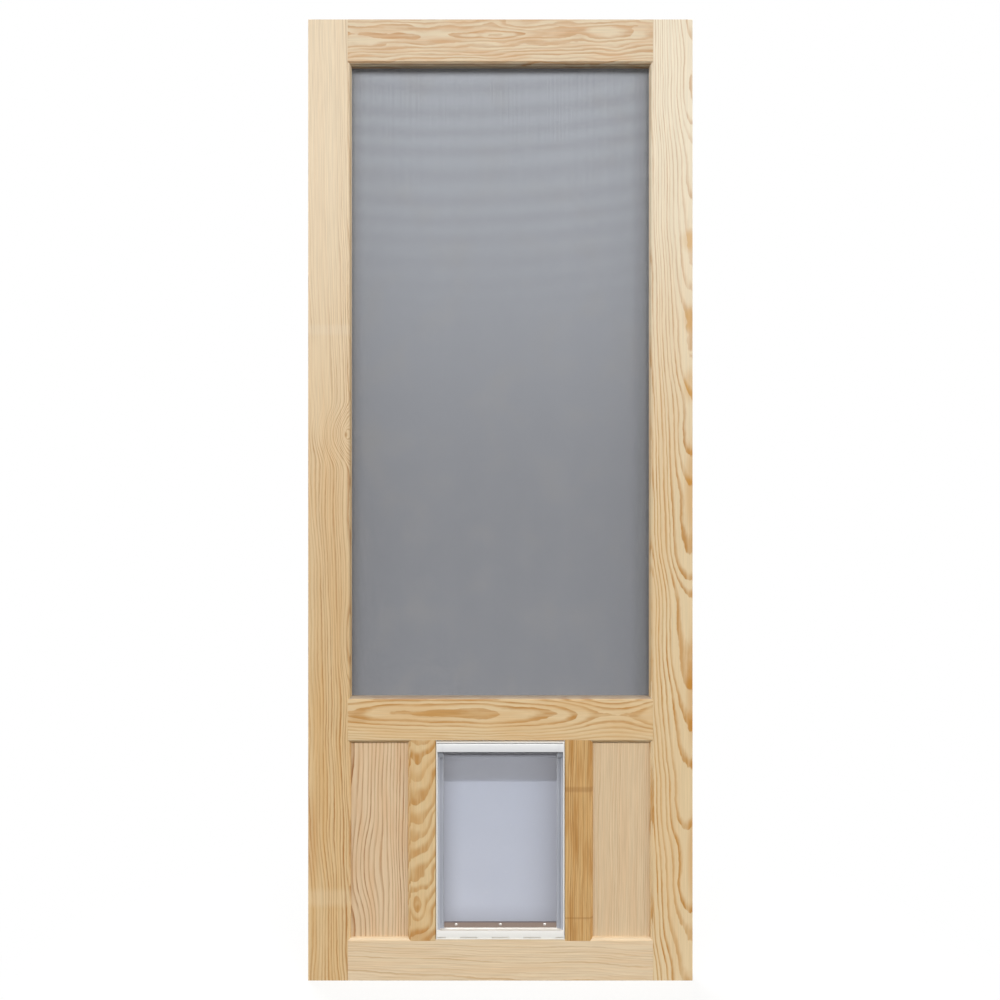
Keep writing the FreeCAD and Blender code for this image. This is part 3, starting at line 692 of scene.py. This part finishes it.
aside = add(tree, "Math", {0: axes["X"], 1: screen["bowAt"]}, operation="SUBTRACT")
aside = add(tree, "Math", {0: aside, 1: aside}, operation="MULTIPLY")
level = add(tree, "Math", {0: aside, 1: -screen["bow"], 2: axes["Z"]}, operation="MULTIPLY_ADD")
drift = add(tree, "Math", {0: level, 1: screen["driftLength"]}, operation="DIVIDE")
drift = add(tree, "TexNoise", {"W": drift, "Scale": 1.0, "Detail": 0.0}, noise_dimensions="1D")
level = add(tree, "Math", {0: drift, 1: screen["drift"], 2: level}, operation="MULTIPLY_ADD")
turns = add(tree, "Math", {0: level, 1: 2 * math.pi / screen["bandPeriod"]}, operation="MULTIPLY")
bands = add(tree, "Math", {0: turns}, operation="SINE")
bands = add(tree, "MapRange", {0: bands, 1: -1.0, 2: 1.0, 3: -screen["bandDepth"], 4: screen["bandDepth"]})
lines = add(tree, "Math", {0: axes["X"], 1: screen["lineWidth"]}, operation="DIVIDE")
lines = add(tree, "TexNoise", {"W": lines, "Scale": 1.0, "Detail": 0.0}, noise_dimensions="1D")
lineLow, lineHigh = screen["lineRange"]
lines = add(tree, "MapRange", {0: lines, 1: lineLow, 2: lineHigh,
                               3: -screen["lineDepth"], 4: screen["lineDepth"]})
both = add(tree, "Math", {0: bands, 1: lines}, operation="ADD")
shown = add(tree, "MapRange", {0: axes["Z"], 1: screen["bandsFrom"], 2: screen["bandsFull"]})
tone = add(tree, "Math", {0: both, 1: shown, 2: 1.0}, operation="MULTIPLY_ADD")

# painted shade: darker towards the stiles and at the rims beside the stiles and under the top rail
out = add(tree, "Math", {0: axes["X"], 1: clothMiddle.x / mm}, operation="SUBTRACT")
out = add(tree, "Math", {0: out}, operation="ABSOLUTE")
shades = [(out, screen["sideFrom"], screen["sideTo"], screen["sideShade"])]
shades += [(axes[axis], rimFrom, rimTo, shade) for axis, rimFrom, rimTo, shade in screen["shadedRims"]]
for place, shadeFrom, shadeTo, darkest in shades:
    shade = add(tree, "MapRange", {0: place, 1: shadeFrom, 2: shadeTo, 3: 1.0, 4: darkest})
    tone = add(tree, "Math", {0: tone, 1: shade}, operation="MULTIPLY")
slick, dull = screen["rough"]
rough = add(tree, "MapRange", {0: dust, 2: screen["dustShare"], 3: slick, 4: dull})
grain = add(tree, "TexNoise", {"Vector": spot, "Scale": 1 / screen["grain"], "Detail": 1.0})
surface(tree, shader, screen["foot"], layers, rough, grain, screen["bump"], tone)
screenMesh.data.materials.append(screenMat)
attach(screenMesh, "door_leaf")
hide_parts("screen_cloth")
print("screen woven,", len(screenMesh.data.polygons), "faces")

# Flap: one soft vinyl sheet, a hem rolled round the rod, the sheet a little bowed between band and strip.
flap = {
    "thick": 3.0 * mm,
    "bulge": 1.6 * mm,                           # how far the middle stands out to the front
    "bulgeAside": 0.4, "bulgeTurn": 1.5,         # share of that at the sides too, and how the rest falls off
    "flatBy": 6.0 * mm,                          # stays flat this near to the strip and the band
    "cuts": 11,
    "hem": 4.0 * mm,
    "bore": 2.55 * mm,
    "hemSides": 28,
    "smoothTo": 40,                              # degrees
    "colour": "#D1D4DE", "cloud": "#C5C9D5", "cloudSize": 120.0,      # lengths from here in millimetres
    "scuff": "#DCDEE4", "scuffSize": 11.111, "scuffRange": (0.6, 0.78), "scuffShare": 0.5,
    "upper": "#BDC2CF", "upperFrom": 180.0, "upperFull": 420.0, "upperShare": 0.6,
    "edge": "#9C9DA6",                           # painted shade, darker towards its sides and foot
    "shadedSides": [("low", 45.0, 0.73, 1.6), ("high", 110.0, 0.85, 2.2)],      # reach, share, how it falls off
    "footReach": 36.0, "footShare": 0.4,
    "hemShadeColour": "#83848C", "hemFrom": -1.5, "hemFull": 2.5,              # painted shade under the head bar, from the band's top
    "hemLightColour": "#D2D3DA", "hemTopFrom": -1.5, "hemTopFull": 2.0,           # painted light on the hem's shaded top, from the rod's middle
    "clear": 0.6, "hemClear": 0.1,               # share of light let through; the hem is doubled
    "rough": (0.34, 0.6), "bump": (0.3, 1.0),
}
flapLow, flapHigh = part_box("flap_sheet")
rodLow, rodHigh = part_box("hinge_rod")
axle = (rodLow + rodHigh) / 2
flapWidth = flapHigh.x - flapLow.x
sheetTop = axle.z - flap["bore"]
bpy.ops.object.select_all(action="DESELECT")
bpy.ops.mesh.primitive_cube_add(size=1.0, location=(axle.x, 0, (flapLow.z + sheetTop) / 2))
flapSheet = bpy.context.object
flapSheet.name = "flap_vinyl"
bpy.ops.object.mode_set(mode="EDIT")
bpy.ops.transform.resize(value=(flapWidth, flap["thick"], sheetTop - flapLow.z))
bpy.ops.mesh.select_all(action="SELECT")
bpy.ops.mesh.subdivide(number_cuts=flap["cuts"])
bpy.ops.object.mode_set(mode="OBJECT")
bpy.ops.object.transform_apply(location=True, rotation=True, scale=True)
bowFoot = stripTop * mm + flap["flatBy"]
bowHead = bandLow.z - flap["flatBy"]
for vertex in flapSheet.data.vertices:
    up = (vertex.co.z - bowFoot) / (bowHead - bowFoot)
    if 0 < up < 1:
        aside = (vertex.co.x - axle.x) / (flapHigh.x - axle.x)
        across = flap["bulgeAside"] + (1 - flap["bulgeAside"]) * math.cos(aside * flap["bulgeTurn"])
        vertex.co.y -= flap["bulge"] * math.sin(math.pi * up) ** 2 * across
bpy.ops.object.select_all(action="DESELECT")
bpy.ops.mesh.primitive_cylinder_add(vertices=flap["hemSides"], radius=flap["hem"], depth=flapWidth,
                                    location=axle, rotation=(0, math.radians(90), 0))
hem = bpy.context.object
bpy.ops.object.transform_apply(location=True, rotation=True, scale=True)
bpy.ops.object.mode_set(mode="EDIT")
selectFaces(hem, lambda middle, normal: abs(normal.x) > 0.9)
bpy.ops.mesh.inset(thickness=flap["hem"] - flap["bore"])
bpy.ops.mesh.bridge_edge_loops()
bpy.ops.mesh.select_all(action="SELECT")
bpy.ops.mesh.normals_make_consistent(inside=False)
bpy.ops.object.mode_set(mode="OBJECT")
joinTo(flapSheet, hem)
bpy.ops.object.shade_smooth_by_angle(angle=math.radians(flap["smoothTo"]))

# Smoky soft vinyl: milky, lets light and dark shapes behind it through, with faint handling marks;
# painted shade at its sides, its foot and under the head bar, and painted light on the top of the hem.
flapMat, tree, shader = newMaterial("smoky_soft_vinyl", IOR=1.5)
spot = inMillimetres(tree)
axes = add(tree, "SeparateXYZ", {0: spot}).outputs
cloud = add(tree, "TexNoise", {"Vector": spot, "Scale": 1 / flap["cloudSize"], "Detail": 3.0})
scuff = add(tree, "TexNoise", {"Vector": spot, "Scale": 1 / flap["scuffSize"], "Detail": 5.0,
                               "Roughness": 0.7})
scuffLow, scuffHigh = flap["scuffRange"]
scuff = add(tree, "MapRange", {0: scuff, 1: scuffLow, 2: scuffHigh, 4: flap["scuffShare"]})
rise = add(tree, "MapRange", {0: axes["Z"], 1: flap["upperFrom"], 2: flap["upperFull"],
                              4: flap["upperShare"]})
layers = [(cloud, flap["cloud"]), (scuff, flap["scuff"]), (rise, flap["upper"])]
# painted shade: darker towards the sides, more on the right, and towards the foot
for side, reach, most, curve in flap["shadedSides"]:
    end = (flapLow if side == "low" else flapHigh).x / mm
    inside = end + reach if side == "low" else end - reach
    share = add(tree, "MapRange", {0: axes["X"], 1: inside, 2: end, 4: most})
    share = add(tree, "Math", {0: share, 1: curve}, operation="POWER")
    layers.append((share, flap["edge"]))
foot = add(tree, "MapRange", {0: axes["Z"], 1: stripTop + flap["footReach"], 2: stripTop,
                              4: flap["footShare"]})
# the hem below the rod gets painted shade from the head bar, and its top gets painted light
bandTop = bandHigh.z / mm
rodAt = axle.z / mm
inHem = add(tree, "MapRange", {0: axes["Z"], 1: bandTop + flap["hemFrom"], 2: bandTop + flap["hemFull"]})
hemLit = add(tree, "MapRange", {0: axes["Z"], 1: rodAt + flap["hemTopFrom"], 2: rodAt + flap["hemTopFull"]})
layers += [(foot, flap["edge"]), (inHem, flap["hemShadeColour"]), (hemLit, flap["hemLightColour"])]
clear = add(tree, "MapRange", {0: inHem, 3: flap["clear"], 4: flap["hemClear"]})
tree.links.new(clear.outputs[0], shader.inputs["Transmission Weight"])
slick, dull = flap["rough"]
rough = add(tree, "MapRange", {0: scuff, 2: flap["scuffShare"], 3: slick, 4: dull})
surface(tree, shader, flap["colour"], layers, rough, cloud, flap["bump"])
flapSheet.data.materials.append(flapMat)
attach(flapSheet, "flap")
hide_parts("flap_sheet")
print("flap hung,", len(flapSheet.data.polygons), "faces")
